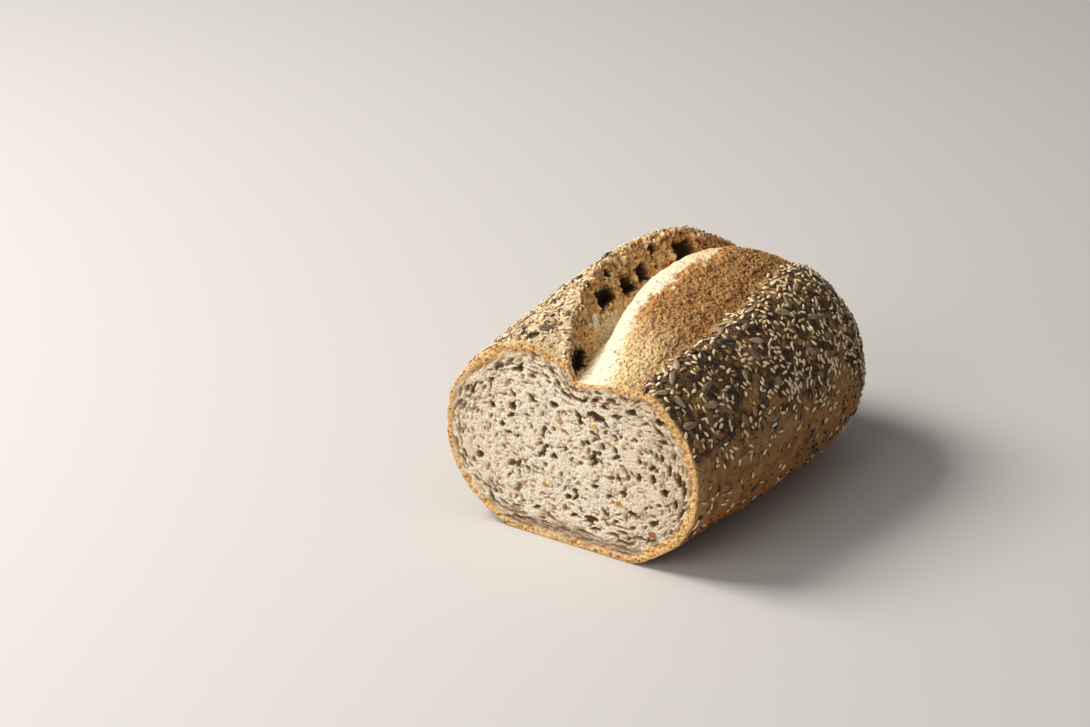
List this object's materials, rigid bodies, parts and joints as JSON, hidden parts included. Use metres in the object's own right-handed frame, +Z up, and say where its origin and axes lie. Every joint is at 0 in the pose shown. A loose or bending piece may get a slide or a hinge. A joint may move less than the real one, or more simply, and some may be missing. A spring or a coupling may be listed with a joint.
{
  "type": "rye bread loaf",
  "caption": "Oval seeded rye loaf cut across near its middle, with a flat crumb face, a long burst slash along the top and a coat of seeds on both flanks and the baked end.",
  "frame": {"origin": "middle of the box round the loaf, on the surface that it rests on", "axes": "+Y from the cut face to the baked end, +Z up, +X to the right as the cut face is seen from in front"},
  "size_m": [0.155, 0.1975, 0.1113],
  "materials": {
    "crust": "matte baked crust, golden brown to dark brown",
    "crumb": "matte open crumb, pale greyish beige",
    "sesame": "satin, pale golden",
    "flax": "satin, brown black",
    "poppy": "matte, blue black",
    "sunflower": "matte, grey brown"
  },
  "bodies": {
    "root": {"rye_loaf": "crust"}
  },
  "joints": []
}
